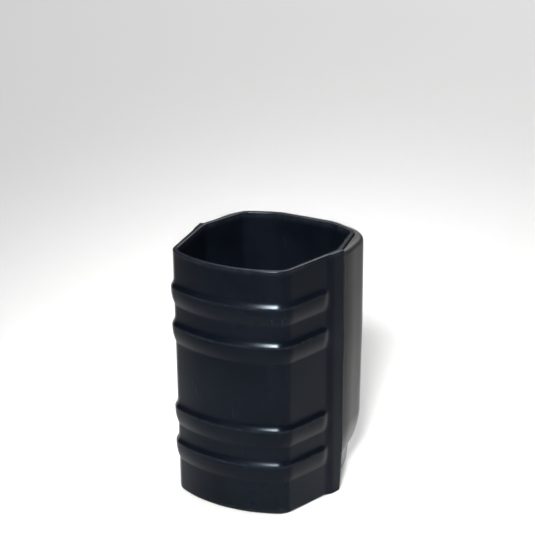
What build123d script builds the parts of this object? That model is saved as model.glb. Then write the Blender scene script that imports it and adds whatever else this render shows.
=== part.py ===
from build123d import *
import math
import os

os.makedirs("parts", exist_ok=True)

# Car bottle holder: a moulded plastic cup with a moulded bracket behind it, held together by two screws.
# Millimetres, +Z up, front towards -Y. The origin is on the base plane, in the middle of the overall width
# and depth. Places along the depth are stations, counted back from the foremost point of the front wall.

# Cup outline at the rim, as half widths and stations
cup_height = 108.0
corner_half_width = 27.2
corner_station = 7.4
widest_half_width = 33.9
widest_station = 41.0
rear_corner_half_width = 27.6
rear_corner_station = 65.3
rear_flat_half_width = 14.0
rear_flat_station = 71.1
front_corner_radius = 10.0
widest_radius = 10.0
rear_corner_radius = 7.0
rear_flat_radius = 12.0

# Cup walls
wall = 2.1
floor_thickness = 2.6
draft_angle = 0.75
base_edge_chamfer = 0.8
cavity_edge_chamfer = 2.0
rim_chamfer = 0.5
base_recess_depth = 0.8
base_ring_width = 4.0

# Upright strip on each side, which the ribs run into
strip_front_station = 31.5
strip_ramp = 4.0
strip_rear_station = 41.8
strip_proud = 0.8

# Bulged ribs round the front and sides, as depths of their upper edges below the rim
rib_depths = (13.4, 30.0, 67.2, 83.2)
rib_height = 10.5
rib_proud = 1.25
rib_crest_drop = 3.8

# Rear bracket: an open-fronted shell round the back of the cup
bracket_gap = 0.3
bracket_wall = 1.9
bracket_top_drop = 1.0
bracket_bottom_height = 14.0
bracket_side_gap = 0.45
bracket_side_lean = 8.0
bracket_corner_offset = 4.1
bracket_corner_radius = 16.0
bracket_flat_radius = 10.0
bracket_flat_gap = 2.4
bracket_lip = 0.9
mounting_wall = 2.4
lean_start_height = 68.0
lean_angle = 1.6
taper_start_height = 27.0
bracket_top_radius = 2.2
web_thickness = 1.6
web_heights = (46.0, 64.0, 82.0)

# Screws that hold the cup to the bracket, from inside the cup
screw_heights = (55.0, 73.0)
screw_diameter = 2.9
screw_head_diameter = 5.5
screw_head_angle = 90.0
screw_length = 6.5
screw_clearance = 0.2
screw_head_recess = 0.2
screw_boss_diameter = 8.0
screw_tip_length = 1.2

# Holes for the two screws that fix the bracket to the vehicle
mount_hole_diameter = 4.5
mount_head_diameter = 8.4
mount_hole_rise = 7.0
mount_hole_drop = 15.0

# Sizes that follow
draft_slope = math.tan(math.radians(draft_angle))
lean_slope = math.tan(math.radians(lean_angle))
side_slope = (widest_half_width - corner_half_width) / (widest_station - corner_station)
back_slope = (widest_half_width - rear_corner_half_width) / (rear_corner_station - widest_station)
rear_slope = (rear_flat_station - rear_corner_station) / (rear_corner_half_width - rear_flat_half_width)
rib_overhang = rib_proud - (rib_depths[0] + rib_crest_drop) * draft_slope
bracket_front_station = strip_rear_station + bracket_gap
cup_side_at_bracket = widest_half_width - back_slope * (bracket_front_station - widest_station)
bracket_half_width = cup_side_at_bracket + bracket_side_gap + bracket_wall
bracket_flat_station = rear_flat_station + bracket_flat_gap + mounting_wall
overall_depth = rib_overhang + bracket_flat_station
front_y = rib_overhang - overall_depth / 2
mounting_y = front_y + bracket_flat_station
bracket_front_y = front_y + bracket_front_station
bracket_top_height = cup_height - bracket_top_drop
mount_hole_heights = (taper_start_height + mount_hole_rise, bracket_top_height - mount_hole_drop)
far = 4 * cup_height


def mirrored(points):
    """The points of the right half, then those of the left half in reverse."""
    return points + [(-x, y) for x, y in reversed(points)]


def rounded(face, places, radius):
    """Rounds the corners of a face that lie nearest to the given places, on both sides."""
    corners = [min(face.vertices(), key=lambda v: math.hypot(v.X - x, v.Y - y)) for x, y in mirrored(places)]
    return fillet(corners, radius)


def moved_in(face, distance):
    return offset(face, amount=-distance, kind=Kind.INTERSECTION)


def cup_outline():
    """Outer outline of the cup at the rim: bowed front, splayed sides, faceted back."""
    front_corner = (corner_half_width, front_y + corner_station)
    widest = (widest_half_width, front_y + widest_station)
    rear_corner = (rear_corner_half_width, front_y + rear_corner_station)
    rear_flat = (rear_flat_half_width, front_y + rear_flat_station)
    outline = mirrored([front_corner, widest, rear_corner, rear_flat])
    bow = ThreePointArc(outline[-1], (0, front_y), outline[0])
    face = make_face([*Polyline(*outline).edges(), bow])
    face = rounded(face, [front_corner], front_corner_radius)
    face = rounded(face, [widest], widest_radius)
    face = rounded(face, [rear_corner], rear_corner_radius)
    return rounded(face, [rear_flat], rear_flat_radius)


def drafted(outline, top, depth):
    """A body that narrows downwards from its outline at the top, by the draft of the mould."""
    lower = moved_in(outline, depth * draft_slope)
    return loft([Pos(0, 0, top - depth) * lower, Pos(0, 0, top) * outline], ruled=True)


def side_strips():
    """A block across the body whose ends stand out as the upright strips, rising gently from the front."""
    ramp_end = strip_front_station + strip_ramp
    places = ((strip_front_station, -strip_proud), (ramp_end, strip_proud), (strip_rear_station, strip_proud))
    corners = [
        (corner_half_width + side_slope * (station - corner_station) + rise, front_y + station)
        for station, rise in places
    ]
    block = extrude(make_face(Polyline(*mirrored(corners), close=True)), amount=cup_height)
    outer = [e for e in block.edges().filter_by(Plane.XY) if abs(e.center().X) > corner_half_width]
    return chamfer(outer, rim_chamfer)


def rib(depth):
    """One bulged rib: crisp along its upper edge, running out softly into the wall below."""
    crest_depth = depth + rib_crest_drop
    level = moved_in(cup_outline(), crest_depth * draft_slope)
    route = [e for e in level.edges() if e.center().Y < front_y + strip_front_station]
    path = Pos(0, 0, cup_height - crest_depth) * Wire(route)
    middle = path.edges().sort_by(Axis.Y)[0] @ 0.5
    plane = Plane(origin=middle, x_dir=(0, -1, 0), z_dir=(1, 0, 0))
    upper = (0, rib_crest_drop)
    lower = (0, rib_crest_drop - rib_height)
    crest = (rib_proud, 0)
    turn = (rib_proud / 2, lower[1] / 2)
    above = TangentArc(crest, upper, tangent=(0, 1))
    below = [TangentArc(crest, turn, tangent=(0, -1)), TangentArc(lower, turn, tangent=(0, 1))]
    behind = Polyline(lower, (-wall / 2, lower[1]), (-wall / 2, upper[1]), upper)
    profile = plane * make_face([above, *below, *behind.edges()])
    return sweep(profile, path=path)


def holder_cup():
    """The cup: tapered walls, ribs, side strips, a recessed base and two screw passages in the back."""
    outline = cup_outline()
    body = drafted(outline, cup_height, cup_height)
    body = chamfer(body.faces().sort_by(Axis.Z)[0].edges(), base_edge_chamfer)
    body = chamfer(body.faces().sort_by(Axis.Z)[-1].edges(), rim_chamfer)
    body += side_strips()
    front = Pos(0, front_y + strip_front_station + strip_ramp - far / 2, 0) * Box(far, far, far)
    for depth in rib_depths:
        body += rib(depth) & front
    cavity = drafted(moved_in(outline, wall), cup_height, cup_height - floor_thickness)
    cavity = chamfer(cavity.faces().sort_by(Axis.Z)[0].edges(), cavity_edge_chamfer)
    body -= cavity
    rim = body.faces().filter_by(Plane.XY).sort_by(Axis.Z)[-1]
    body = chamfer(rim.inner_wires()[0].edges(), rim_chamfer)
    ring_inset = cup_height * draft_slope + base_edge_chamfer + base_ring_width
    body -= extrude(moved_in(outline, ring_inset), amount=base_recess_depth)
    for height in screw_heights:
        body -= screw_passage(height)
    return body


def cup_back_y(height):
    """Where the drafted outer face of the cup's back lies at a height."""
    return front_y + rear_flat_station - (cup_height - height) * draft_slope


def screw_seat_y(height):
    """Where the flat of a screw's head lies, sunk a little into the inside of the cup's back."""
    return cup_back_y(height) - wall + draft_slope * screw_head_diameter / 2 + screw_head_recess


def cone(large, small, depth):
    return Cone(large / 2, small / 2, depth, align=(Align.CENTER, Align.CENTER, Align.MIN))


def rod(diameter, length):
    return Cylinder(diameter / 2, length, align=(Align.CENTER, Align.CENTER, Align.MIN))


def backwards(height, y):
    """Placement of a turned piece that points to the rear at a height."""
    return Location(Plane(origin=(0, y, height), x_dir=(1, 0, 0), z_dir=(0, 1, 0)))


def head_depth(large, small):
    return (large - small) / 2 / math.tan(math.radians(screw_head_angle / 2))


def screw_passage(height):
    """Countersunk clearance hole through the cup's back wall."""
    bore = screw_diameter + 2 * screw_clearance
    sink = cone(screw_head_diameter, bore, head_depth(screw_head_diameter, bore))
    passage = rod(bore, 2 * wall) + sink + Pos(0, 0, -wall) * rod(screw_head_diameter, wall)
    return backwards(height, screw_seat_y(height)) * passage


def screw(height):
    """Countersunk self-tapping screw with a pointed end."""
    head = cone(screw_head_diameter, screw_diameter, head_depth(screw_head_diameter, screw_diameter))
    shank_length = screw_length - screw_tip_length
    shank = rod(screw_diameter, shank_length)
    tip = Pos(0, 0, shank_length) * cone(screw_diameter, screw_diameter / 3, screw_tip_length)
    return backwards(height, screw_seat_y(height)) * (head + shank + tip)


def faceted(start, corner, flat, corner_radius, flat_radius):
    """Outline with straight sides, slanted rear corners and a flat back, open towards the front."""
    face = make_face(Polyline(*mirrored([start, corner, flat]), close=True))
    face = rounded(face, [corner], corner_radius)
    return rounded(face, [flat], flat_radius)


def bracket_outline():
    """Outer outline of the bracket's upright part."""
    lean = math.tan(math.radians(bracket_side_lean))
    start = (bracket_half_width + lean * (bracket_front_y - front_y), front_y)
    shift = bracket_corner_offset * math.hypot(1, rear_slope)
    line_y = front_y + rear_corner_station + rear_slope * rear_corner_half_width + shift
    corner_x = (start[0] - lean * (line_y - front_y)) / (1 - lean * rear_slope)
    corner = (corner_x, line_y - rear_slope * corner_x)
    flat = ((line_y - mounting_y) / rear_slope, mounting_y)
    return faceted(start, corner, flat, bracket_corner_radius, bracket_flat_radius)


def closing_outline():
    """Outline that follows the back of the cup at the bracket's lower end."""
    start = (widest_half_width + back_slope * widest_station, front_y)
    corner = (rear_corner_half_width, front_y + rear_corner_station)
    flat = (rear_flat_half_width, front_y + rear_flat_station)
    face = faceted(start, corner, flat, rear_corner_radius, rear_flat_radius)
    return moved_in(face, (cup_height - bracket_bottom_height) * draft_slope - bracket_gap - bracket_lip)


def bracket_form(inset, top):
    """Upright upper part, slightly leaning middle and a lower end that draws in to the cup."""
    upper = moved_in(bracket_outline(), inset) if inset else bracket_outline()
    lean_shift = (lean_start_height - taper_start_height) * lean_slope
    leaning = Pos(0, lean_shift, taper_start_height) * moved_in(upper, lean_shift)
    closing = moved_in(closing_outline(), inset) if inset else closing_outline()
    upper = Pos(0, 0, lean_start_height) * upper
    form = extrude(upper, amount=top - lean_start_height) + loft([leaning, upper], ruled=True)
    return form + loft([Pos(0, 0, bracket_bottom_height) * closing, leaning], ruled=True)


def bracket_inside():
    """The room inside the bracket, in front of its thicker mounting wall."""
    room = bracket_form(bracket_wall, bracket_top_height - bracket_wall)
    return room & (Pos(0, mounting_y - mounting_wall - far / 2, 0) * Box(far, far, far))


def boss(height):
    """Round boss from the mounting wall towards the back of the cup."""
    length = mounting_y - cup_back_y(height) + wall
    return backwards(height, mounting_y - length) * rod(screw_boss_diameter, length)


def mount_hole(height):
    """Hole for a countersunk screw, driven from inside the bracket before the cup goes on."""
    sink = cone(mount_head_diameter, mount_hole_diameter, (mount_head_diameter - mount_hole_diameter) / 2)
    return backwards(height, mounting_y - mounting_wall) * (sink + rod(mount_hole_diameter, mounting_wall))


def rear_bracket():
    """The bracket: a shell with cross webs, two screw bosses and two mounting holes."""
    outline = cup_outline()
    shell = bracket_form(0, bracket_top_height)
    shell = fillet(shell.faces().sort_by(Axis.Z)[-1].edges(), bracket_top_radius)
    inside = bracket_inside()
    shell -= inside
    for height in web_heights:
        shell += inside & (Pos(0, 0, height) * Box(far, far, web_thickness))
    shell = shell & (Pos(0, bracket_front_y + far / 2, 0) * Box(far, far, far))
    shell -= drafted(moved_in(outline, -bracket_gap), cup_height, cup_height)
    cup_form = drafted(outline, cup_height, cup_height)
    for height in screw_heights:
        shell += boss(height) - cup_form
        shell -= backwards(height, screw_seat_y(height)) * rod(screw_diameter, screw_length + screw_clearance)
    for height in mount_hole_heights:
        shell -= mount_hole(height)
    return shell


pieces = {
    "holder_cup": holder_cup(),
    "rear_bracket": rear_bracket(),
    "cup_screws": Compound([screw(height) for height in screw_heights]),
}
for name, piece in pieces.items():
    export_step(piece, f"parts/{name}.step")
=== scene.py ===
import bpy
import math
import numpy as np
from mathutils import Matrix, Vector


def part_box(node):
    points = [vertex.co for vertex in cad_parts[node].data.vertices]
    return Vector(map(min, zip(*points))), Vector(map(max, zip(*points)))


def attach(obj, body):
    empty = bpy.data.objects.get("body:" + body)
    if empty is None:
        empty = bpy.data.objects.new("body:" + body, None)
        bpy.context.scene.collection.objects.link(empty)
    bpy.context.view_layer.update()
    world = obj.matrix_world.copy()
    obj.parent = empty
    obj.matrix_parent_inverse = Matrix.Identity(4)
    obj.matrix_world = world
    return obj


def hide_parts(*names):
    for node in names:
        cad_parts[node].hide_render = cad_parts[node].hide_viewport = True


# Car bottle holder in satin black plastic: a moulded cup with bulged ribs, screwed to a moulded bracket.
# Sizes are millimetres, turned into metres by mm; the front looks towards -Y.

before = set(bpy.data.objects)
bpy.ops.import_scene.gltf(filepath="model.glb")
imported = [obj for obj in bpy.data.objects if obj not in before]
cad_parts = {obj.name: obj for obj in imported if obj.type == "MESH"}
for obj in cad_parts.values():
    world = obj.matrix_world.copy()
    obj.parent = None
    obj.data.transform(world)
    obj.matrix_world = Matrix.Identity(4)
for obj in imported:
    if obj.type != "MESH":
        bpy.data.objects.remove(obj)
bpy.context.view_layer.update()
mm = 0.001
print("frame loaded:", ", ".join(sorted(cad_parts)))


# Outline of the cup at its rim, shared by the cup and the bracket

outlineForm = {
    "frontCorner": (27.2, 7.4),  # half width, and distance behind the foremost point
    "widest": (33.9, 41.0),
    "rearCorner": (27.6, 65.3),
    "rearFlat": (14.0, 71.1),
    "frontRadius": 8.0,
    "widestRadius": 10.0,
    "rearRadius": 7.0,
    "flatRadius": 12.0,
    "draft": math.tan(math.radians(0.75)),  # how much the walls draw in for each millimetre down
    "height": 108.0,
    "leastRadius": 0.3,  # what a corner keeps of its radius, however far the outline moves in
}

ribForm = {
    "depths": (12.3, 29.0, 66.1, 81.9),  # upper edges, below the rim
    "tall": 11.4,
    "proud": 1.25,
    "crest": 4.0,  # the crest below the upper edge
    "ease": 1.2,  # the swell begins this far above the upper edge
    "upperBend": 2.0,
    "lowerBend": 2.6,
    "endBend": 1.2,  # softens the flank's lower end
    "rows": (-0.12, 1.06, 44),  # first and last in shares of the rib's height, and how many
}

ribOverhang = ribForm["proud"] - (ribForm["depths"][0] + ribForm["crest"]) * outlineForm["draft"]
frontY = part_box("holder_cup")[0].y / mm + ribOverhang


def sideLine(start, end):
    # outward normal of a straight side, and its distance from the origin along that normal
    along = np.subtract(end, start)
    normal = np.array([along[1], -along[0]]) / np.hypot(along[0], along[1])
    return normal, float(normal @ np.array(start))


def placed(name):
    halfWidth, behind = outlineForm[name]
    return halfWidth, frontY + behind


frontSide = sideLine(placed("frontCorner"), placed("widest"))
backSide = sideLine(placed("widest"), placed("rearCorner"))
slantSide = sideLine(placed("rearCorner"), placed("rearFlat"))
flatSide = (np.array([0.0, 1.0]), frontY + outlineForm["rearFlat"][1])
bowRise = outlineForm["frontCorner"][1]
bowRadius = (outlineForm["frontCorner"][0] ** 2 + bowRise**2) / (2 * bowRise)
bowCentre = np.array([0.0, frontY + bowRadius])


def directions(angle):
    return np.stack([np.cos(angle), np.sin(angle)], -1)


def cornerBetween(sideA, sideB, inset, radius):
    # a corner keeps its centre while the outline moves in, until its radius is used up
    reach = np.maximum(radius, inset + outlineForm["leastRadius"])
    (normalA, placeA), (normalB, placeB) = sideA, sideB
    spread = normalA[0] * normalB[1] - normalA[1] * normalB[0]
    a, b = placeA - reach, placeB - reach
    x = (a * normalB[1] - b * normalA[1]) / spread
    y = (normalA[0] * b - normalB[0] * a) / spread
    return np.stack([x, y], -1), reach - inset


def cornerAtBow(side, inset, radius):
    # the corner touches the bow from inside, so its centre is bowRadius - reach from the bow's centre
    reach = np.maximum(radius, inset + outlineForm["leastRadius"])
    normal, place = side
    across = place - reach - normal @ bowCentre
    along = np.sqrt((bowRadius - reach) ** 2 - across**2)
    offset = across[:, None] * normal - along[:, None] * np.array([-normal[1], normal[0]])
    return bowCentre + offset, reach - inset, np.arctan2(offset[:, 1], offset[:, 0])


def arcPoints(centre, radius, fromAngle, toAngle, count):
    # centre + radius * (cos, sin) of angles spaced evenly, without the last one
    share = np.linspace(0, 1, count, endpoint=False)
    angle = fromAngle[:, None] + (toAngle - fromAngle)[:, None] * share
    normal = directions(angle)
    return centre[:, None, :] + radius[:, None, None] * normal, normal


def linePoints(start, end, count, closed=False):
    # start + (end - start) * share, evenly spaced; the end itself only when closed
    share = np.linspace(0, 1, count, endpoint=closed)
    return start[:, None, :] + (end - start)[:, None, :] * share[:, None]


def angleOf(side, like):
    # the direction of a side's normal, once for each row
    return np.full(len(like), math.atan2(side[0][1], side[0][0]))


def onSide(side, inset, y):
    # point of a straight side, moved in by inset, at the depth y
    normal, place = side
    return np.stack([(place - inset - normal[1] * y) / normal[0], np.full(len(inset), y)], -1)


def widestX(inset, y):
    # half width of the side walls at a depth: front line, rounded turn or back line
    centre, radius = cornerBetween(frontSide, backSide, inset, outlineForm["widestRadius"])
    height = y - centre[:, 1]
    front = onSide(frontSide, inset, y)[:, 0]
    back = onSide(backSide, inset, y)[:, 0]
    turn = centre[:, 0] + np.sqrt(np.maximum(radius**2 - height**2, 0))
    x = np.where(height < radius * frontSide[0][1], front, turn)
    return np.where(height > radius * backSide[0][1], back, x)


def rearChain(sides, radii, inset, startY, counts):
    # half outline from a plane behind the front to the middle of the back: side, turn, slant, turn, flat
    side, slant, flat = sides
    corner, cornerRadius = cornerBetween(side, slant, inset, radii[0])
    last, lastRadius = cornerBetween(slant, flat, inset, radii[1])
    turns = [angleOf(s, inset) for s in (side, slant, flat)]
    start = onSide(side, inset, startY)
    cornerStart = corner + cornerRadius[:, None] * directions(turns[0])
    cornerEnd = corner + cornerRadius[:, None] * directions(turns[1])
    lastStart = last + lastRadius[:, None] * directions(turns[1])
    lastEnd = last + lastRadius[:, None] * directions(turns[2])
    middle = np.stack([np.zeros(len(inset)), lastEnd[:, 1]], -1)
    return np.concatenate(
        [
            linePoints(start, cornerStart, counts[0]),
            arcPoints(corner, cornerRadius, turns[0], turns[1], counts[1])[0],
            linePoints(cornerEnd, lastStart, counts[2]),
            arcPoints(last, lastRadius, turns[1], turns[2], counts[3])[0],
            linePoints(lastEnd, middle, counts[4], closed=True),
        ],
        axis=1,
    )


# Meshes and their edge wear

creaseAngle = 35.0  # degrees; edges sharper than this stay hard


def bothHalves(right):
    # the right half from front to back, then its mirror image from back to front
    left = right[:, ::-1].copy()
    left[..., 0] *= -1
    return np.concatenate([right, left], axis=1)


def withHeight(flat, heights):
    # adds to each row of an outline its height
    return np.concatenate([flat, np.broadcast_to(heights[:, None, None], (*flat.shape[:2], 1))], -1)


def gridFaces(rows, columns, roundRows=False, roundColumns=False, start=0):
    # one quad between each pair of neighbouring rows and columns
    rowCount = rows if roundRows else rows - 1
    columnCount = columns if roundColumns else columns - 1
    row, column = np.meshgrid(np.arange(rowCount), np.arange(columnCount), indexing="ij")
    nextRow, nextColumn = (row + 1) % rows, (column + 1) % columns
    here, above = row * columns, nextRow * columns
    quads = np.stack([here + column, here + nextColumn, above + nextColumn, above + column], -1)
    return quads.reshape(-1, 4) + start


def addObject(name, data):
    added = bpy.data.objects.new(name, data)
    bpy.context.scene.collection.objects.link(added)
    return added


def smoothShading(mesh, crease=creaseAngle):
    mesh.shade_smooth()
    mesh.set_sharp_from_angle(angle=math.radians(crease))


def meshPiece(name, points, faces, crease=creaseAngle):
    mesh = bpy.data.meshes.new(name)
    mesh.from_pydata(np.asarray(points, float).reshape(-1, 3) * mm, [], faces)
    mesh.validate()
    mesh.update()
    piece = addObject(name, mesh)
    smoothShading(mesh, crease)
    return piece


def cutAway(piece, cutters):
    # takes the cutters' volume out of the piece, then drops the cutters
    for cutter in cutters:
        modifier = piece.modifiers.new("cut", "BOOLEAN")
        modifier.object, modifier.operation, modifier.solver = cutter, "DIFFERENCE", "EXACT"
    bpy.context.view_layer.update()
    depsgraph = bpy.context.evaluated_depsgraph_get()
    result = bpy.data.meshes.new_from_object(piece.evaluated_get(depsgraph))
    piece.modifiers.clear()
    old = piece.data
    result.name = old.name
    piece.data = result
    bpy.data.meshes.remove(old)
    for cutter in cutters:
        bpy.data.objects.remove(cutter)
    smoothShading(result)


def markEdges(piece, smallest=1.6):
    # the sharpest turn outwards at each point, as smallest / radius: 1 where an edge is that sharp or more
    mesh = piece.data
    points = np.zeros(len(mesh.vertices) * 3)
    normals = np.zeros(len(mesh.vertices) * 3)
    edges = np.zeros(len(mesh.edges) * 2, int)
    mesh.vertices.foreach_get("co", points)
    mesh.vertex_normals.foreach_get("vector", normals)
    mesh.edges.foreach_get("vertices", edges)
    points, normals, edges = points.reshape(-1, 3), normals.reshape(-1, 3), edges.reshape(-1, 2)
    apart = points[edges[:, 1]] - points[edges[:, 0]]
    lean = normals[edges[:, 1]] - normals[edges[:, 0]]
    square = np.maximum((apart**2).sum(1), 1e-12)  # never zero
    bend = (lean * apart).sum(1) / square * smallest * mm
    wear = np.full(len(points), -1.0)
    for end in (0, 1):
        np.maximum.at(wear, edges[:, end], bend)
    wear = np.clip(wear, 0, 1)
    attribute = mesh.attributes.new("edgeWear", "FLOAT", "POINT")
    attribute.data.foreach_set("value", wear.astype(np.float32))


# The cup

cupForm = {
    "wall": 2.1,
    "floor": 2.6,
    "baseRadius": 1.6,
    "sideEase": 1.2,  # how much less the sides draw in than the front does, at the base
    "easeStations": (-4.0, 33.0),  # where that begins and is complete, behind the foremost point
    "cavityRadius": 2.6,
    "rimRadius": 0.6,
    "recess": 0.8,  # depth of the hollow under the base
    "ring": 3.2,  # width of the ring that the cup stands on
    "stripFront": 31.4,  # the upright strip begins here, behind the foremost point, and rises over the ramp
    "stripRamp": 4.6,
    "stripRear": 41.95,
    "stripProud": 0.8,
    "stripRadius": 0.35,
    "ribFade": (29.0, 35.0),  # where the ribs run out beside the strip
    # how much more the back draws in towards the base, in two parts: amount, height it starts below, bend
    "rearDraw": ((1.6, 18.0, 1.1), (1.2, 5.0, 2.0)),
    "stripFoot": (1.9, 24.0, 1.3),  # the same for the strip's rear edge, which leans forward
    "sideNormal": (0.84, 0.975),  # the front corner turns into the side between these x of its normal
    "ringSteps": (0.25, 0.45),  # the recess's wall and its foot, outside the ring's inner line
    "ringEases": (0.15, 0.2),  # heights of the eased edges above and below that wall
    "ringFlat": (2.0, 0.6),  # points on the standing face, inside its outer edge
    "rimFlat": 0.3,
    "discShares": (0.15, 0.45, 0.8, 0.97),  # rings of points under the recess and over the floor
    "leastStep": 0.05,  # rows closer than this are one
    "rows": {"base": 15, "wall": 46, "rim": 8, "inside": 30, "cavity": 12},
    "columns": {"bow": 30, "corner": 20, "side": 24, "ramp": 14, "face": 9, "edge": 7},
    "rearColumns": (14, 12, 5, 7, 9),  # side, turn, slant, turn, flat
}


def smooth(value, low, high):
    # 0 at low, 1 at high, with level ends: t^2 * (3 - 2 t)
    t = np.clip((value - low) / (high - low), 0, 1)
    return t * t * (3 - 2 * t)


def towardsBase(height, amount, low, bend):
    # 0 above the height low, the full amount at the base
    return amount * np.clip(1 - height / low, 0, 1) ** bend


def rearDraw(height):
    return sum(towardsBase(height, *part) for part in cupForm["rearDraw"])


def ribBulge(depth):
    # above the crest a slow start and a steep shoulder, smooth(t^upperBend);
    # below it a long flank, (1 - t^lowerBend)^endBend
    form = ribForm
    bulge = np.zeros_like(depth)
    for top in form["depths"]:
        above = np.clip((depth - top + form["ease"]) / (form["crest"] + form["ease"]), 0, 1)
        below = np.clip((depth - top - form["crest"]) / (form["tall"] - form["crest"]), 0, 1)
        upper = smooth(above ** form["upperBend"], 0, 1)
        lower = (1 - below ** form["lowerBend"]) ** form["endBend"]
        bulge += form["proud"] * upper * lower
    return bulge


def cupRows():
    # profile from the middle of the underside, up the outside, over the rim and down to the floor's middle;
    # each row holds: inset, height, strip on or off, inset of the strip, rib bulge, share of the full outline
    form, tall, draft = cupForm, outlineForm["height"], outlineForm["draft"]
    counts, shares, rim = form["rows"], form["discShares"], form["rimRadius"]
    rows = []

    def add(inset, height, strip=0.0, stripInset=0.0, bulge=0.0, share=1.0):
        parts = np.broadcast_arrays(*np.atleast_1d(inset, height, strip, stripInset, bulge, share))
        rows.append(np.stack(parts, -1).astype(float))

    foot = tall * draft + form["baseRadius"]
    ringInset = foot + form["ring"]
    wallStep, footStep = form["ringSteps"]
    upperEase, lowerEase = form["ringEases"]
    innerFlat, outerFlat = form["ringFlat"]
    add(ringInset, form["recess"], share=np.array([*shares, 1.0]))
    add(ringInset - wallStep, np.array([form["recess"] - upperEase, lowerEase]))
    add(np.array([ringInset - footStep, foot + innerFlat, foot + outerFlat]), 0.0)
    turn = np.radians(90 - np.linspace(0, 90, counts["base"]))
    height = form["baseRadius"] * (1 - np.sin(turn))
    below = np.clip(rim - height, 0, rim)
    stripInset = rim - np.sqrt(rim**2 - below**2)
    wallInset = (tall - form["baseRadius"]) * draft
    add(wallInset + form["baseRadius"] * (1 - np.cos(turn)), height, 1.0, stripInset)
    heights = [np.linspace(form["baseRadius"], tall - rim, counts["wall"])[1:]]
    for top in ribForm["depths"]:
        heights.append(tall - top - ribForm["tall"] * np.linspace(*ribForm["rows"]))
    heights = np.unique(np.concatenate(heights))
    heights = heights[np.concatenate([[True], np.diff(heights) > form["leastStep"]])]
    add((tall - heights) * draft, heights, 1.0, 0.0, ribBulge(tall - heights))
    turn = np.radians(np.linspace(0, 90, counts["rim"])[1:])
    over = rim * (1 - np.cos(turn))
    add(over, tall - rim * (1 - np.sin(turn)), 1.0, over)
    add(np.array([rim + form["rimFlat"], form["wall"] - rim]), tall)
    add(form["wall"] - rim * (1 - np.sin(turn)), tall - rim * (1 - np.cos(turn)))
    heights = np.linspace(tall - rim, form["floor"] + form["cavityRadius"], counts["inside"])[1:]
    add(form["wall"] + (tall - heights) * draft, heights)
    turn = np.radians(np.linspace(0, 90, counts["cavity"])[1:])
    inside = form["wall"] + (tall - form["floor"] - form["cavityRadius"]) * draft
    radius = form["cavityRadius"]
    add(inside + radius * (1 - np.cos(turn)), form["floor"] + radius * (1 - np.sin(turn)))
    add(inside + radius, form["floor"], share=np.array(shares[::-1]))
    return np.concatenate(rows).T


def sideEase(inset, y):
    # the sides draw in less than the front: in proportion to how far the row has drawn in,
    # and fully from the second of the two stations on
    full = outlineForm["height"] * outlineForm["draft"]
    further = smooth(y, *(frontY + station for station in cupForm["easeStations"]))
    return cupForm["sideEase"] * np.clip(inset, 0, full) / full * further


def stripChain(inset, stripInset, bulge, draw, yA, yB):
    # plan of the strip: it swells out of the wall over the ramp, then its face, its rounded rear edge,
    # and back to the wall
    form, counts = cupForm, cupForm["columns"]
    normal = frontSide[0]
    place = frontSide[1] + form["stripProud"] * normal[0]
    radius = np.full(len(inset), form["stripRadius"])
    rampEnd = yA + form["stripRamp"]
    low, high = (frontY + station for station in form["ribFade"])
    points = []
    rampStations = np.linspace(yA, rampEnd, counts["ramp"])
    faceStations = np.linspace(rampEnd, yB - form["stripRadius"], counts["face"])[1:-1]
    for y in np.concatenate([rampStations, faceStations]):
        wall = onSide(frontSide, inset, y)[:, 0] + sideEase(inset, y) + bulge * (1 - smooth(y, low, high))
        face = (place - stripInset - normal[1] * y) / normal[0]
        share = smooth(y, yA, rampEnd)
        x = wall + (np.maximum(face, wall) - wall) * share
        points.append(np.stack([x, y], -1))
    reach = stripInset + radius
    x = (place - reach - normal[1] * (yB - form["stripRadius"])) / normal[0]
    centre = np.stack([x, yB - form["stripRadius"]], -1)
    backward = np.full(len(inset), math.pi / 2)
    rear = arcPoints(centre, radius, angleOf(frontSide, inset), backward, counts["edge"])[0]
    endRear = (centre + radius[:, None] * np.array([0.0, 1.0]))[:, None]
    wallB = np.stack([widestX(inset + draw, yB), yB], -1)[:, None]
    return np.concatenate([np.stack(points, axis=1), rear, endRear, wallB], axis=1)


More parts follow.
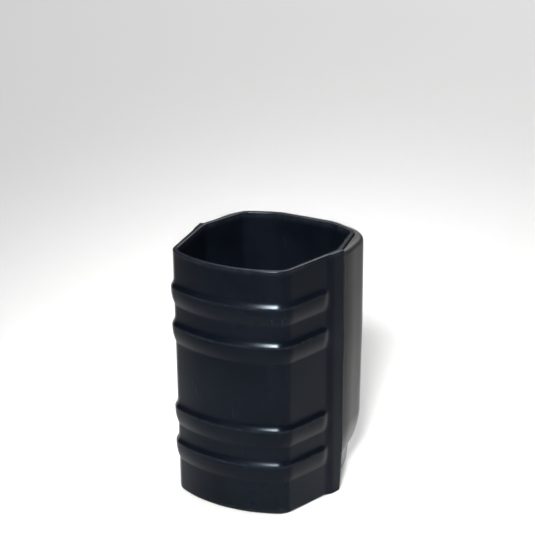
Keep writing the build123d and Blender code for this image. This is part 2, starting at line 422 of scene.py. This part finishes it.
def cupOutline(inset, stripInset, stripOn, bulge, height):
    # right half of one outline for each row: bow, front corner, side, strip,
    # side, rear corner, slant, turn, back
    form, counts = outlineForm, cupForm["columns"]
    draw = rearDraw(height)
    yA = np.full(len(inset), frontY + cupForm["stripFront"])
    yB = frontY + cupForm["stripRear"] - towardsBase(height, *cupForm["stripFoot"])
    corner, cornerRadius, bowEnd = cornerAtBow(frontSide, inset, form["frontRadius"])
    forward = np.full(len(inset), -math.pi / 2)
    sideAngle = angleOf(frontSide, inset)
    centres = np.tile(bowCentre, (len(inset), 1))
    bow, bowNormal = arcPoints(centres, bowRadius - inset, forward, bowEnd, counts["bow"])
    turn, turnNormal = arcPoints(corner, cornerRadius, bowEnd, sideAngle, counts["corner"])
    cornerEnd = corner + cornerRadius[:, None] * frontSide[0]
    side = linePoints(cornerEnd, onSide(frontSide, inset, yA), counts["side"])
    sideNormal = np.broadcast_to(frontSide[0], side.shape)
    strip = stripChain(inset, stripInset, bulge, draw, yA, yB)
    stations = np.linspace(yA, yB, strip.shape[1])
    plain = np.stack([np.stack([widestX(inset + draw, y), y], -1) for y in stations], axis=1)
    strip = plain + (strip - plain) * stripOn[:, None, None]
    outer = np.concatenate([bow, turn, side], axis=1)
    fadeLow, fadeHigh = (frontY + station for station in cupForm["ribFade"])
    fade = 1 - smooth(outer[..., 1:], fadeLow, fadeHigh)
    normal = np.concatenate([bowNormal, turnNormal, sideNormal], axis=1)
    sideShare = smooth(normal[..., :1], *cupForm["sideNormal"])
    ease = (sideEase(inset[:, None], outer[..., 1]) * stripOn[:, None])[..., None] * sideShare
    outer = outer + normal * (bulge[:, None, None] * fade + ease)
    radii, rearCounts = (form["rearRadius"], form["flatRadius"]), cupForm["rearColumns"]
    rear = rearChain((backSide, slantSide, flatSide), radii, inset + draw, yB, rearCounts)
    for column in range(1, rearCounts[0]):
        rear[:, column, 0] = widestX(inset + draw, rear[:, column, 1])
    return np.concatenate([outer, strip, rear[:, 1:]], axis=1)


def makeCup():
    inset, height, stripOn, stripInset, bulge, share = cupRows()
    flat = bothHalves(cupOutline(inset, stripInset, stripOn, bulge, height))
    keep = np.ones(flat.shape[1], bool)
    keep[flat.shape[1] // 2] = False  # the two halves meet twice, at the middle of the back and of the front
    keep[-1] = False
    flat = flat[:, keep]
    middle = np.array([0.0, frontY + outlineForm["widest"][1]])
    flat = middle + (flat - middle) * share[:, None, None]
    rows, columns = flat.shape[:2]
    points = withHeight(flat, height).reshape(-1, 3)
    poles = np.array([[*middle, height[0]], [*middle, height[-1]]])
    quads = gridFaces(rows, columns, roundColumns=True)
    around = np.arange(columns)
    following = (around + 1) % columns
    under = np.stack([following, around, np.full(columns, rows * columns)], -1)
    last = (rows - 1) * columns
    floor = np.stack([around + last, following + last, np.full(columns, rows * columns + 1)], -1)
    faces = [*quads.tolist(), *under.tolist(), *floor.tolist()]
    return meshPiece("cupShell", np.concatenate([points, poles]), faces)


cup = makeCup()
print("cup:", len(cup.data.polygons), "faces")


# Screws through the cup's back, and their holes

screwForm = {
    "heights": (55.0, 73.0),
    "thread": 2.9,
    "head": 5.5,
    "length": 6.5,
    "sunk": 0.2,
    "hole": 5.9,
    "slotLong": 1.55,  # half length and half width of the cross in the head
    "slotWide": 0.36,
    "slotDeep": 0.9,
    "slotSlopes": (0.14, 0.35),  # how far the sides and the ends of each slot slope
    "dome": (0.05, 0.35),  # how far the head's edge falls away, over this width
    "headEdge": 0.25,
    "headRings": (0.04, 1, 26),
    "headSteps": (0.2, 0.08),  # the last rings, inside the edge
    "threadEnds": (2.0, 1.3),  # from the head's flat, and before the point
    "pitch": 0.5,
    "threadDeep": 0.28,
    "point": (1.2, 0.1, 0.12),  # its length, how far it steps in, and its radius at the tip
    "columns": 96,
    "crease": 30,
    "holeStart": -3.0,  # the hole, along the screw: wide part, flare, neck with room all round, end
    "holeFlare": 0.05,
    "holeNeck": 1.35,
    "holeRoom": 0.2,
    "holeEnd": (1.6, 1.6),
}


def screwSeat(height):
    # the flat of the head, sunk a little into the drafted inner face of the back
    back = flatSide[1] - (outlineForm["height"] - height) * outlineForm["draft"]
    return back - cupForm["wall"] + outlineForm["draft"] * screwForm["head"] / 2 + screwForm["sunk"]


def turned(profile, columns):
    # a profile of (distance along +Y, radius) turned about the Y axis
    profile = np.asarray(profile, float)
    angle = np.linspace(0, 2 * math.pi, columns, endpoint=False)
    x = profile[:, 1:2] * np.cos(angle)
    z = profile[:, 1:2] * np.sin(angle)
    y = np.broadcast_to(profile[:, :1], x.shape)
    return np.stack([x, y, z], -1)


def turnedPiece(name, profile, place, columns=48):
    grid = turned(profile, columns) + np.array(place)
    rows = len(profile)
    faces = gridFaces(rows, columns, roundColumns=True)[:, ::-1].tolist()
    faces += [list(range(columns)), list(range(rows * columns - 1, (rows - 1) * columns - 1, -1))]
    return meshPiece(name, grid, faces)


def holeCutter(height):
    size = screwForm
    wide, neck = size["hole"] / 2, size["thread"] / 2 + size["holeRoom"]
    profile = [(size["holeStart"], wide), (size["holeFlare"], wide), (size["holeNeck"], neck)]
    return turnedPiece("screwHole", [*profile, size["holeEnd"]], (0, screwSeat(height), height))


def screwHeads():
    # head flat as rings around the axis, pressed in by a cross: two slots, each with sloping sides
    size = screwForm
    angle = np.linspace(0, 2 * math.pi, size["columns"], endpoint=False)
    edge = size["head"] / 2
    inner, outer = size["headSteps"]
    radius = np.concatenate([np.linspace(*size["headRings"]) * (edge - inner), [edge - outer, edge]])
    x, z = radius[:, None] * np.cos(angle), radius[:, None] * np.sin(angle)

    def slot(along, across):
        sideSlope, endSlope = size["slotSlopes"]
        inside = np.clip((size["slotWide"] - np.abs(across)) / sideSlope, 0, 1)
        return inside * np.clip((size["slotLong"] - np.abs(along)) / endSlope, 0, 1)

    cross = np.maximum(slot(x, z), slot(z, x))
    fall, width = size["dome"]
    dome = fall * np.clip((radius[:, None] - edge + width) / width, 0, 1) ** 2
    y = cross * size["slotDeep"] + dome
    head = np.stack([x, y, z], -1)
    thread = size["thread"] / 2
    below = [(size["headEdge"], edge), ((size["head"] - size["thread"]) / 2, thread)]
    first, last = size["threadEnds"]
    for start in np.arange(first, size["length"] - last, size["pitch"]):
        below += [(start, thread), (start + size["pitch"] / 2, thread - size["threadDeep"])]
    pointLong, pointStep, tip = size["point"]
    below += [(size["length"] - pointLong, thread - pointStep), (size["length"], tip)]
    shank = turned(below, len(angle))
    grid = np.concatenate([head, shank])
    rows, columns = grid.shape[:2]
    points, faces = [], []
    for height in size["heights"]:
        start = len(points) * rows * columns
        faces += gridFaces(rows, columns, roundColumns=True, start=start)[:, ::-1].tolist()
        faces.append([start + i for i in range(columns)])
        faces.append([start + rows * columns - 1 - i for i in range(columns)])
        points.append(grid + np.array([0, screwSeat(height), height]))
    points = np.concatenate([p.reshape(-1, 3) for p in points])
    return meshPiece("screwPair", points, faces, size["crease"])


cutAway(cup, [holeCutter(height) for height in screwForm["heights"]])
screws = screwHeads()
print("screws:", len(screws.data.polygons), "faces")


# The rear bracket

bracketForm = {
    "front": 42.1,  # the shell's front edges, behind the foremost point
    "flush": 1.1,  # there the skin dips in, level with the strip, and swells out to full width over the reach
    "flushReach": 9.0,
    "gap": 0.3,  # between the bracket and the back of the cup
    "wall": 1.9,
    "topDrop": 1.0,  # below the rim
    "bottom": 14.0,
    "sideGap": 0.45,
    "sideLean": 8.0,  # degrees
    "cornerOffset": 4.1,  # its slant lies this far behind the cup's
    "cornerRadius": 16.0,
    "flatRadius": 10.0,
    "lip": 0.9,  # thickness of the lower edge
    "mountingWall": 2.4,
    "leanStart": 68.0,  # the skin leans in below this, and is drawn in to the cup below taperStart
    "leanAngle": 1.6,  # degrees
    "taperStart": 28.0,
    "taperBend": 1.4,
    "topRadius": 2.2,
    "webHeights": (46.0, 64.0, 82.0),
    "web": 1.6,
    "boss": 8.0,
    "holes": (34.0, 92.0),
    "hole": 4.5,
    "holeHead": 8.4,
    "holeReach": 4.6,  # how far the wide part of the hole reaches in from the mounting face
    "holeEase": (0.3, 0.5),  # the hole's edge at the mounting face: depth, width
    "overlap": 0.2,  # webs run this far into the walls
    "bossEnds": (0.05, 0.3),  # clear of the cup, and into the mounting wall
    "edgeEase": (0.2, 0.25),  # inset and height of the eased lower edge
    "rowSplit": 6.0,  # rows change their spacing this far above the taper's start
    "deckShares": (0.3, 0.6, 0.9, 0.98),
    "deckEase": 0.15,
    "roomBend": 0.5,
    "rows": {"low": 26, "high": 26, "top": 12, "inside": 40},
    "counts": (20, 14, 5, 9, 12),  # points along side, turn, slant, turn, flat
}

bracketFront = frontY + bracketForm["front"]
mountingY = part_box("rear_bracket")[1].y / mm
bracketTop = outlineForm["height"] - bracketForm["topDrop"]


def bracketSides():
    # side, slant and flat of the bracket's upright part
    form = bracketForm
    lean = math.tan(math.radians(form["sideLean"]))
    wallX = onSide(backSide, np.zeros(1), bracketFront)[0, 0]
    halfWidth = wallX + form["sideGap"] + form["wall"]
    along = 10.0  # any length gives the same line
    side = sideLine((halfWidth, bracketFront), (halfWidth - lean * along, bracketFront + along))
    slant = (slantSide[0], slantSide[1] + form["cornerOffset"])
    return side, slant, (np.array([0.0, 1.0]), mountingY)


def bracketSkin(heights, inset):
    # outer skin at each height: upright above, leaning in a little below, and drawn in to the cup at the end
    form, draft = bracketForm, outlineForm["draft"]
    radii = (form["cornerRadius"], form["flatRadius"])
    leaning = np.clip(form["leanStart"] - heights, 0, form["leanStart"] - form["taperStart"])
    lean = leaning * math.tan(math.radians(form["leanAngle"]))
    upper = rearChain(bracketSides(), radii, inset + lean, bracketFront, form["counts"])
    upper[..., 1] += (upper[..., 1] - bracketFront) / (mountingY - bracketFront) * lean[:, None]
    radii = (outlineForm["rearRadius"], outlineForm["flatRadius"])
    hug = (outlineForm["height"] - heights) * draft + rearDraw(heights) - form["gap"] - form["lip"]
    closing = rearChain((backSide, slantSide, flatSide), radii, hug + inset, bracketFront, form["counts"])
    share = np.clip((form["taperStart"] - heights) / (form["taperStart"] - form["bottom"]), 0, 1)
    share = share ** form["taperBend"]
    skin = upper + (closing - upper) * share[:, None, None]
    near = np.clip(1 - (skin[..., 1] - bracketFront) / form["flushReach"], 0, 1)
    outside = np.clip(1 - inset / form["wall"], 0, 1)[:, None]  # the inner face keeps its line
    skin[..., 0] -= form["flush"] * near**2 * outside * (1 - share[:, None])
    return skin


def cupGap(heights):
    # the cup's drafted back, a gap further out
    radii = (outlineForm["rearRadius"], outlineForm["flatRadius"])
    inset = (outlineForm["height"] - heights) * outlineForm["draft"] + rearDraw(heights) - bracketForm["gap"]
    return rearChain((backSide, slantSide, flatSide), radii, inset, bracketFront, bracketForm["counts"])


def bracketRows():
    # loop around the section: outside from bottom to top, over the rounded top, deck, its underside,
    # and down the inside
    form, counts = bracketForm, bracketForm["rows"]
    radius = form["topRadius"]
    edgeInset, edgeHeight = form["edgeEase"]
    split = form["taperStart"] + form["rowSplit"]
    low = np.linspace(form["bottom"] + edgeHeight, split, counts["low"])
    high = np.linspace(split, bracketTop - radius, counts["high"])[1:]
    outer = np.concatenate([low, high])
    turn = np.radians(np.linspace(0, 90, counts["top"])[1:])
    roundHeights = bracketTop - radius * (1 - np.sin(turn))
    roundInset = radius * (1 - np.cos(turn))
    rim = bracketSkin(np.full(1, bracketTop), np.full(1, radius))
    gap = cupGap(np.full(1, bracketTop))
    deck = np.concatenate([rim + (gap - rim) * share for share in form["deckShares"]])
    inner = np.linspace(bracketTop - form["wall"], form["bottom"], counts["inside"])
    share = np.clip((inner - form["bottom"]) / (form["taperStart"] - form["bottom"]), 0, 1)
    room = bracketSkin(inner, np.full(len(inner), form["wall"]))
    room[..., 1] = np.minimum(room[..., 1], mountingY - form["mountingWall"])
    hug = cupGap(inner)
    room = hug + (room - hug) * (share[:, None, None] ** form["roomBend"])
    bottom = np.full(1, form["bottom"])
    loops = [
        withHeight(bracketSkin(bottom, np.full(1, edgeInset)), bottom),
        withHeight(bracketSkin(outer, np.zeros(len(outer))), outer),
        withHeight(bracketSkin(roundHeights, roundInset), roundHeights),
        withHeight(deck, np.full(len(deck), bracketTop)),
        withHeight(gap, np.full(1, bracketTop - form["deckEase"])),
        withHeight(hug[:1], np.full(1, bracketTop - form["wall"])),
        withHeight(room, inner),
    ]
    return np.concatenate(loops)


def closedLoops(loops):
    # a tube of loops, rows around the section and columns along the outline, with a flat cap at each end
    right = loops[:, :-1]
    left = loops[:, ::-1].copy()
    left[..., 0] *= -1
    grid = np.concatenate([right, left], axis=1)
    rows, columns = grid.shape[:2]
    faces = gridFaces(rows, columns, roundRows=True).tolist()
    faces.append([row * columns for row in range(rows)])
    faces.append([row * columns + columns - 1 for row in range(rows)][::-1])
    return grid.reshape(-1, 3), faces


def webLoops(height):
    # cross web between the inside of the shell and the cup, as a loop of four rows
    form = bracketForm
    level = np.full(1, height)
    room = bracketSkin(level, np.full(1, form["wall"] - form["overlap"]))
    room[..., 1] = np.minimum(room[..., 1], mountingY - form["mountingWall"] + form["overlap"])
    hug = cupGap(level)
    under, over = level - form["web"] / 2, level + form["web"] / 2
    corners = ((hug, under), (room, under), (room, over), (hug, over))
    return np.concatenate([withHeight(flat, heights) for flat, heights in corners])


def joined(name, pieces):
    # one object from several, each already in place
    target = pieces[0]
    with bpy.context.temp_override(active_object=target, selected_editable_objects=pieces, object=target):
        bpy.ops.object.join()
    target.name = target.data.name = name
    return target


def makeBracket():
    form = bracketForm
    points, faces = closedLoops(bracketRows())
    shell = meshPiece("bracketShell", points, faces)
    wide, narrow, wall = form["holeHead"] / 2, form["hole"] / 2, form["mountingWall"]
    deep, flare = form["holeEase"]
    countersink = [(-form["holeReach"], wide), (-wall, wide), (-wall + wide - narrow, narrow)]
    profile = [*countersink, (-deep, narrow), (deep, narrow + flare)]
    cutAway(shell, [turnedPiece("panelHole", profile, (0, mountingY, height)) for height in form["holes"]])
    parts = [shell]
    for height in form["webHeights"]:
        points, faces = closedLoops(webLoops(height))
        parts.append(meshPiece("web", points, faces))
    clear, into = form["bossEnds"]
    radius = form["boss"] / 2
    for height in screwForm["heights"]:
        back = flatSide[1] - (outlineForm["height"] - height) * outlineForm["draft"]
        length = mountingY - wall + into - back - clear
        profile = [(clear, screwForm["thread"] / 2), (clear, radius), (length, radius)]
        parts.append(turnedPiece("boss", profile, (0, back, height)))
    return joined("bracketShell", parts)


bracket = makeBracket()
print("bracket:", len(bracket.data.polygons), "faces")


# Finishes

skinLook = {
    "grain": (2.0, 0.6),  # detail and roughness of the noise, here and below
    "patches": (3.0, 0.55),
    "lowDetail": 1.0,  # for the coarse grain and the hairlines
    "coarseScale": 0.35,
    "coarseShare": 0.6,
    "hairTurn": (0.5, 0.35, 0.9),
    "hairStretch": (1.0, 1.0, 0.03),
    "hairScale": 900.0,
    "hairRange": (0.70, 0.78),  # only the noise's peaks show as scuffs
    "scuffedPatches": (0.58, 0.70),
}

wearLook = {
    "bend": (0.25, 1.0),
    "noise": (3.0, 0.6),
    "breakRange": (0.35, 0.65),
    "leastShare": 0.35,
}


def newGroup(name, inputs, outputs):
    group = bpy.data.node_groups.new(name, "ShaderNodeTree")
    for label, kind, value in inputs:
        group.interface.new_socket(label, in_out="INPUT", socket_type=kind).default_value = value
    for label, kind in outputs:
        group.interface.new_socket(label, in_out="OUTPUT", socket_type=kind)
    return group, group.nodes.new("NodeGroupInput"), group.nodes.new("NodeGroupOutput")


def mathNode(tree, operation, a, b, clamp=False):
    node = tree.nodes.new("ShaderNodeMath")
    node.operation, node.use_clamp = operation, clamp
    for socket, value in zip(node.inputs, (a, b)):
        if isinstance(value, (int, float)):
            socket.default_value = value
        else:
            tree.links.new(value, socket)
    return node.outputs[0]


def noiseNode(tree, place, scale, detail=2.0, rough=0.5):
    node = tree.nodes.new("ShaderNodeTexNoise")
    node.inputs["Detail"].default_value = detail
    node.inputs["Roughness"].default_value = rough
    tree.links.new(place, node.inputs["Vector"])
    if isinstance(scale, (int, float)):
        node.inputs["Scale"].default_value = scale
    else:
        tree.links.new(scale, node.inputs["Scale"])
    return node.outputs["Fac"]


def remap(tree, value, low, high, newLow=0.0, newHigh=1.0):
    node = tree.nodes.new("ShaderNodeMapRange")
    node.interpolation_type = "SMOOTHSTEP"
    tree.links.new(value, node.inputs["Value"])
    for label, number in zip(("From Min", "From Max", "To Min", "To Max"), (low, high, newLow, newHigh)):
        node.inputs[label].default_value = number
    return node.outputs["Result"]


def mouldedSkin():
    # spark-eroded mould texture: fine grain, larger cloudy patches, and a few hairline scuffs
    look = skinLook
    group, given, out = newGroup(
        "mouldedSkin",
        [("Grain Scale", "NodeSocketFloat", 5200.0), ("Patch Scale", "NodeSocketFloat", 40.0)],
        [("Height", "NodeSocketFloat"), ("Patches", "NodeSocketFloat"), ("Scuffs", "NodeSocketFloat")],
    )
    place = group.nodes.new("ShaderNodeTexCoord").outputs["Object"]
    grain = noiseNode(group, place, given.outputs["Grain Scale"], *look["grain"])
    coarseScale = mathNode(group, "MULTIPLY", given.outputs["Grain Scale"], look["coarseScale"])
    coarse = noiseNode(group, place, coarseScale, look["lowDetail"])
    height = mathNode(group, "ADD", grain, mathNode(group, "MULTIPLY", coarse, look["coarseShare"]))
    patches = noiseNode(group, place, given.outputs["Patch Scale"], *look["patches"])
    stretch = group.nodes.new("ShaderNodeMapping")
    stretch.inputs["Rotation"].default_value = look["hairTurn"]
    stretch.inputs["Scale"].default_value = look["hairStretch"]
    group.links.new(place, stretch.inputs["Vector"])
    hair = noiseNode(group, stretch.outputs["Vector"], look["hairScale"], look["lowDetail"])
    few = remap(group, patches, *look["scuffedPatches"])
    scuffs = mathNode(group, "MULTIPLY", remap(group, hair, *look["hairRange"]), few)
    group.links.new(height, out.inputs["Height"])
    group.links.new(patches, out.inputs["Patches"])
    group.links.new(scuffs, out.inputs["Scuffs"])
    return group


def edgeWear():
    # the piece's own convexity, broken up by noise
    look = wearLook
    group, given, out = newGroup(
        "edgeWear",
        [("Amount", "NodeSocketFloat", 1.0), ("Break Up", "NodeSocketFloat", 300.0)],
        [("Mask", "NodeSocketFloat")],
    )
    place = group.nodes.new("ShaderNodeTexCoord").outputs["Object"]
    attribute = group.nodes.new("ShaderNodeAttribute")
    attribute.attribute_name = "edgeWear"
    bend = remap(group, attribute.outputs["Fac"], *look["bend"])
    noise = noiseNode(group, place, given.outputs["Break Up"], *look["noise"])
    broken = remap(group, noise, *look["breakRange"], look["leastShare"])
    mask = mathNode(group, "MULTIPLY", bend, broken)
    mask = mathNode(group, "MULTIPLY", mask, given.outputs["Amount"], clamp=True)
    group.links.new(mask, out.inputs["Mask"])
    return group


skinGroup = mouldedSkin()
wearGroup = edgeWear()


def placeGroup(tree, group, **values):
    node = tree.nodes.new("ShaderNodeGroup")
    node.node_tree = group
    for label, value in values.items():
        node.inputs[label.replace("_", " ")].default_value = value
    return node


def mixColour(tree, mask, first, second):
    node = tree.nodes.new("ShaderNodeMix")
    node.data_type = "RGBA"  # its colour sockets are inputs 6 and 7 and output 2
    tree.links.new(mask, node.inputs["Factor"])
    for socket, value in ((node.inputs[6], first), (node.inputs[7], second)):
        if isinstance(value, tuple):
            socket.default_value = (*value, 1.0)
        else:
            tree.links.new(value, socket)
    return node.outputs[2]


def newMaterial(name):
    material = bpy.data.materials.new(name)
    material.use_nodes = True
    return material, material.node_tree, material.node_tree.nodes["Principled BSDF"]


def placeGroups(tree, look):
    skin = placeGroup(tree, skinGroup, Grain_Scale=look["grainScale"], Patch_Scale=look["patchScale"])
    wear = placeGroup(tree, wearGroup, Amount=look["wear"], Break_Up=look["breakUp"])
    return skin, wear


def addBump(tree, shader, height, look):
    bump = tree.nodes.new("ShaderNodeBump")
    bump.inputs["Strength"].default_value = look["bump"]
    bump.inputs["Distance"].default_value = look["bumpDeep"]
    tree.links.new(height, bump.inputs["Height"])
    tree.links.new(bump.outputs["Normal"], shader.inputs["Normal"])


def satinPlastic(name, look):
    material, tree, shader = newMaterial(name)
    skin, wear = placeGroups(tree, look)
    patches = remap(tree, skin.outputs["Patches"], *look["patchRange"])
    colour = mixColour(tree, patches, look["deep"], look["light"])
    colour = mixColour(tree, wear.outputs["Mask"], colour, look["worn"])
    colour = mixColour(tree, skin.outputs["Scuffs"], colour, look["worn"])
    tree.links.new(colour, shader.inputs["Base Color"])
    rough = mathNode(tree, "ADD", mathNode(tree, "MULTIPLY", patches, look["roughSpread"]), look["rough"])
    polished = mathNode(tree, "MULTIPLY", wear.outputs["Mask"], look["wornRough"])
    scuffed = mathNode(tree, "MULTIPLY", skin.outputs["Scuffs"], look["scuffRough"])
    rough = mathNode(tree, "ADD", rough, polished)
    rough = mathNode(tree, "ADD", rough, scuffed, clamp=True)
    tree.links.new(rough, shader.inputs["Roughness"])
    addBump(tree, shader, skin.outputs["Height"], look)
    shader.inputs["Specular IOR Level"].default_value = look["specular"]
    shader.inputs["Specular Tint"].default_value = (*look["tint"], 1.0)
    return material


cupLook = {
    "deep": (0.0009, 0.0014, 0.0024),
    "light": (0.0016, 0.0023, 0.0037),
    "worn": (0.0075, 0.009, 0.0125),
    "rough": 0.21,
    "roughSpread": 0.05,
    "specular": 0.09,
    "tint": (0.72, 0.86, 1.0),
    "grainScale": 5200.0,  # noise scales are for each metre
    "patchScale": 38.0,
    "wear": 0.6,
    "breakUp": 320.0,
    "patchRange": (0.3, 0.7),
    "wornRough": -0.05,  # worn edges are polished a little
    "scuffRough": 0.1,
    "bump": 0.3,
    "bumpDeep": 0.00003,
}

bracketLook = {
    **cupLook,
    "deep": (0.0036, 0.0036, 0.0037),
    "light": (0.0058, 0.0058, 0.0057),
    "rough": 0.34,
    "specular": 0.16,
    "tint": (1.0, 1.0, 1.0),
    "patchScale": 30.0,
    "bump": 0.45,
}


screwLook = {
    "deep": (0.30, 0.31, 0.32),
    "light": (0.52, 0.52, 0.50),
    "worn": (0.68, 0.68, 0.68),
    "rough": 0.22,
    "roughSpread": 0.2,
    "grainScale": 9000.0,
    "patchScale": 700.0,
    "wear": 0.8,
    "breakUp": 900.0,
    "bump": 0.25,
    "bumpDeep": 0.00002,
}


def zincSteel(name, look):
    material, tree, shader = newMaterial(name)
    skin, wear = placeGroups(tree, look)
    colour = mixColour(tree, skin.outputs["Patches"], look["deep"], look["light"])
    colour = mixColour(tree, wear.outputs["Mask"], colour, look["worn"])
    tree.links.new(colour, shader.inputs["Base Color"])
    shader.inputs["Metallic"].default_value = 1.0
    spread = mathNode(tree, "MULTIPLY", skin.outputs["Patches"], look["roughSpread"])
    tree.links.new(mathNode(tree, "ADD", spread, look["rough"]), shader.inputs["Roughness"])
    addBump(tree, shader, skin.outputs["Height"], look)
    return material


def finish(piece, node, material):
    markEdges(piece)
    piece.data.materials.clear()
    piece.data.materials.append(material)
    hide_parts(node)
    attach(piece, "root")


finish(cup, "holder_cup", satinPlastic("cupPlastic", cupLook))
finish(bracket, "rear_bracket", satinPlastic("bracketPlastic", bracketLook))
finish(screws, "cup_screws", zincSteel("screwZinc", screwLook))
print("finishes on")


# Floor, light and camera

stageLook = {
    "floorSize": 16.0,
    "floorColour": (0.36, 0.36, 0.36),
    "worldColour": (1.0, 1.0, 1.0),
    "worldStrength": 0.03,
    "toneScale": 3.0,
    "toneDetail": 2.0,
    "toneDrop": 0.985,  # the paper's darker patches
    "floorRough": 0.9,
    "floorSpecular": 0.2,
}

keyLight = {
    "azimuth": 22,
    "elevation": 35,
    "distance": 1.1,
    "size": (0.25, 0.21),
    "power": 1.4,
    "spread": 23,
    "colour": (1.0, 0.985, 0.965),
}

backLight = {
    "azimuth": 178,
    "elevation": 58,
    "distance": 2.0,
    "size": (2.4, 2.2),
    "power": 102.0,
    "spread": 180,
    "colour": (1, 1, 1),
}


def makeFloor():
    half = stageLook["floorSize"] / 2
    corners = [(-half, -half, 0), (half, -half, 0), (half, half, 0), (-half, half, 0)]
    mesh = bpy.data.meshes.new("floor")
    mesh.from_pydata(corners, [], [(0, 1, 2, 3)])
    floor = addObject("floor", mesh)
    material, tree, shader = newMaterial("palePaper")
    place = tree.nodes.new("ShaderNodeTexCoord").outputs["Object"]
    tone = noiseNode(tree, place, stageLook["toneScale"], stageLook["toneDetail"])
    pale = stageLook["floorColour"]
    colour = mixColour(tree, tone, pale, tuple(c * stageLook["toneDrop"] for c in pale))
    tree.links.new(colour, shader.inputs["Base Color"])
    shader.inputs["Roughness"].default_value = stageLook["floorRough"]
    shader.inputs["Specular IOR Level"].default_value = stageLook["floorSpecular"]
    mesh.materials.append(material)


def outwards(azimuth, elevation):
    # direction from the holder; azimuth 0 is in front, 90 to the right
    return (
        math.sin(azimuth) * math.cos(elevation),
        -math.cos(azimuth) * math.cos(elevation),
        math.sin(elevation),
    )


def softLight(name, look):
    # a rectangle that looks at the middle of the holder
    data = bpy.data.lights.new(name, "AREA")
    data.shape, (data.size, data.size_y) = "RECTANGLE", look["size"]
    data.energy, data.color, data.spread = look["power"], look["colour"], math.radians(look["spread"])
    light = addObject(name, data)
    middle = Vector((0, 0, outlineForm["height"] * mm / 2))
    away = Vector(outwards(math.radians(look["azimuth"]), math.radians(look["elevation"])))
    light.location = middle + away * look["distance"]
    light.rotation_euler = away.to_track_quat("Z", "Y").to_euler()


makeFloor()
world = bpy.data.worlds.new("studio")
bpy.context.scene.world = world
world.use_nodes = True
background = world.node_tree.nodes["Background"]
background.inputs["Color"].default_value = (*stageLook["worldColour"], 1)
background.inputs["Strength"].default_value = stageLook["worldStrength"]
softLight("keyBox", keyLight)
softLight("backTop", backLight)

viewForm = {
    "azimuth": 30.5,
    "elevation": 20.0,
    "roll": -0.3,
    "distance": 816.3,  # from the middle of the rim's height and the cup's own centre
    "aside": 7.99,  # the camera is moved this far right and down, as seen through it
    "down": 7.74,
    "centre": 23.5,  # the cup's centre behind its foremost point
    "lens": 134.6,
    "sensor": 36.0,
    "clip": (0.05, 50.0),
}


def makeCamera():
    view = viewForm
    a, e, r = (math.radians(view[key]) for key in ("azimuth", "elevation", "roll"))
    back = np.array(outwards(a, e))
    level = np.array([math.cos(a), math.sin(a), 0.0])
    upright = np.cross(back, level)
    right = level * math.cos(r) + upright * math.sin(r)
    up = upright * math.cos(r) - level * math.sin(r)
    centre = np.array([0.0, frontY + view["centre"], outlineForm["height"]])
    spot = (centre + right * view["aside"] - up * view["down"] + back * view["distance"]) * mm
    data = bpy.data.cameras.new("camera")
    data.lens, data.sensor_width, data.sensor_fit = view["lens"], view["sensor"], "HORIZONTAL"
    data.clip_start, data.clip_end = view["clip"]
    camera = addObject("camera", data)
    turn = Matrix((right, up, back)).transposed().to_4x4()
    camera.matrix_world = Matrix.Translation(Vector(spot)) @ turn
    bpy.context.scene.camera = camera


makeCamera()
print("camera and light set")

bpy.context.scene.view_settings.view_transform = "Standard"
